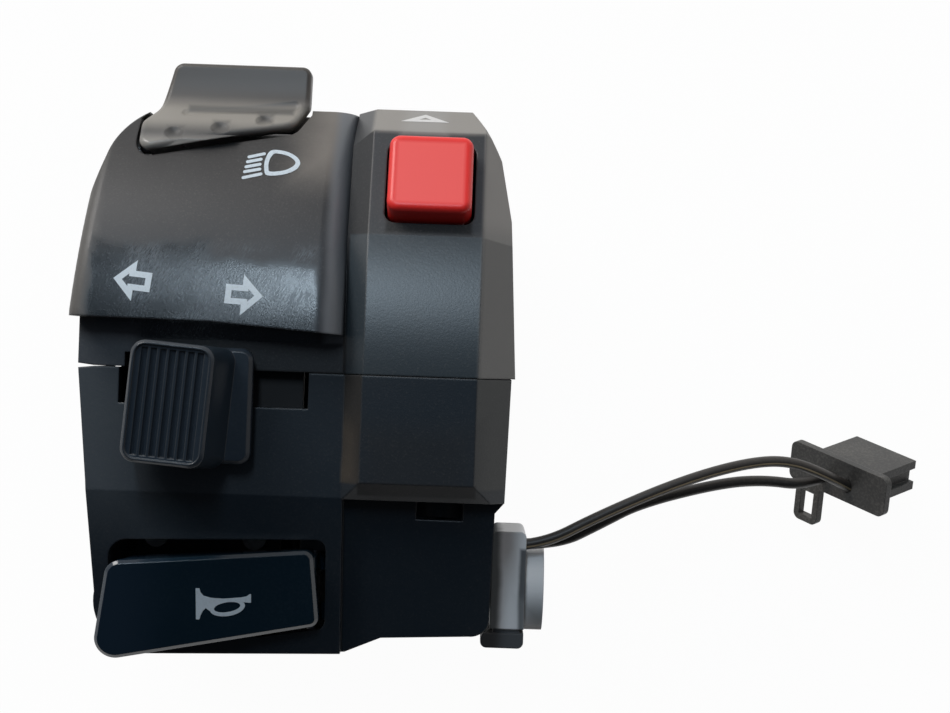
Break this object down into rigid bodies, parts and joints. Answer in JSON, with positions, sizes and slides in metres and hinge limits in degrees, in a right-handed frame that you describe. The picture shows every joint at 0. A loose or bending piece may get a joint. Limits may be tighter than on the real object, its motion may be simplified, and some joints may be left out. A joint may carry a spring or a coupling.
{
  "type": "handlebar switch cluster",
  "caption": "Left-hand motorcycle handlebar switch: two-part clamp case with beam lever, turn knob, horn paddle, hazard button, cable outlet and a two-wire lead.",
  "frame": {"origin": "on the axis of the handlebar bore, where the turn knob's slot and the horn paddle share a middle plane", "axes": "+X along the handlebar towards the middle of the motorcycle, +Y up on the motorcycle, +Z towards the rider; the cluster lies on its back as pictured"},
  "size_m": [0.1232, 0.083, 0.0575],
  "materials": {
    "case_plastic": "fine moulded grain",
    "module_plastic": "satin",
    "slider_plastic": "satin",
    "switch_body_plastic": "satin",
    "knob_plastic": "semi-gloss with worn edges",
    "paddle_plastic": "gloss",
    "lever_plastic": "semi-gloss",
    "red_plastic": "semi-gloss",
    "screw_steel": "zinc plated, dulled",
    "pin_steel": "ground",
    "spring_steel": "drawn wire",
    "brass": "plain",
    "outlet_rubber": "dusty and faded",
    "wire_vinyl_striped": "dark vinyl with a thin tan stripe",
    "wire_vinyl_black": "black vinyl",
    "connector_plastic": "dusty"
  },
  "bodies": {
    "housing": {"upper_case": "case_plastic", "lower_case": "case_plastic", "clamp_screws": "screw_steel", "threaded_inserts": "brass", "turn_contact_base": "module_plastic", "turn_fixed_contacts": "brass", "turn_base_screws": "screw_steel", "horn_pivot_pin": "pin_steel", "horn_contact_base": "module_plastic", "horn_fixed_contact": "brass", "horn_base_screws": "screw_steel", "horn_return_spring": "spring_steel", "beam_pivot_pin": "pin_steel", "beam_contact_base": "module_plastic", "beam_fixed_contacts": "brass", "beam_base_screws": "screw_steel", "hazard_switch_body": "switch_body_plastic", "hazard_terminals": "brass", "hazard_screws": "screw_steel", "hazard_spring": "spring_steel", "switch_wires": "wire_vinyl_black", "harness_outlet": "outlet_rubber", "lead_wire_a": "wire_vinyl_striped", "lead_wire_b": "wire_vinyl_black", "connector_shell": "connector_plastic", "connector_terminals": "brass"},
    "beam_lever": {"beam_lever": "lever_plastic", "beam_contact_carrier": "module_plastic", "beam_moving_contact": "brass", "beam_detent_plunger": "pin_steel", "beam_detent_spring": "spring_steel"},
    "turn_slider": {"turn_slider": "slider_plastic", "turn_moving_contact": "brass", "detent_ball": "pin_steel", "detent_spring": "spring_steel", "cancel_spring": "spring_steel"},
    "turn_knob": {"turn_knob": "knob_plastic"},
    "horn_paddle": {"horn_paddle": "paddle_plastic", "horn_moving_contact": "brass"},
    "hazard_button": {"hazard_cap": "red_plastic", "hazard_plunger": "slider_plastic", "hazard_moving_contact": "brass"}
  },
  "joints": [
    {"name": "beam_lever_tilt", "type": "hinge", "parent": "housing", "child": "beam_lever", "pos_m": [-0.0123, 0.031, 0.0135], "axis": [1, 0, 0], "range_deg": [-9, 4]},
    {"name": "turn_slide", "type": "slide", "parent": "housing", "child": "turn_slider", "axis": [1, 0, 0], "range_m": [-0.0035, 0.0035]},
    {"name": "cancel_push", "type": "slide", "parent": "turn_slider", "child": "turn_knob", "axis": [0, 0, -1], "range_m": [0, 0.002], "stiffness_N_per_m": 600, "deforming": ["cancel_spring"]},
    {"name": "horn_press", "type": "hinge", "parent": "housing", "child": "horn_paddle", "pos_m": [0.0023, -0.0297, 0.0175], "axis": [0, -1, 0], "range_deg": [0, 6], "stiffness_Nm_per_rad": 0.12, "deforming": ["horn_return_spring"]},
    {"name": "hazard_push", "type": "slide", "parent": "housing", "child": "hazard_button", "axis": [0, -0.3795, -0.9252], "range_m": [0, 0.0025], "stiffness_N_per_m": 500, "deforming": ["hazard_spring"]}
  ]
}
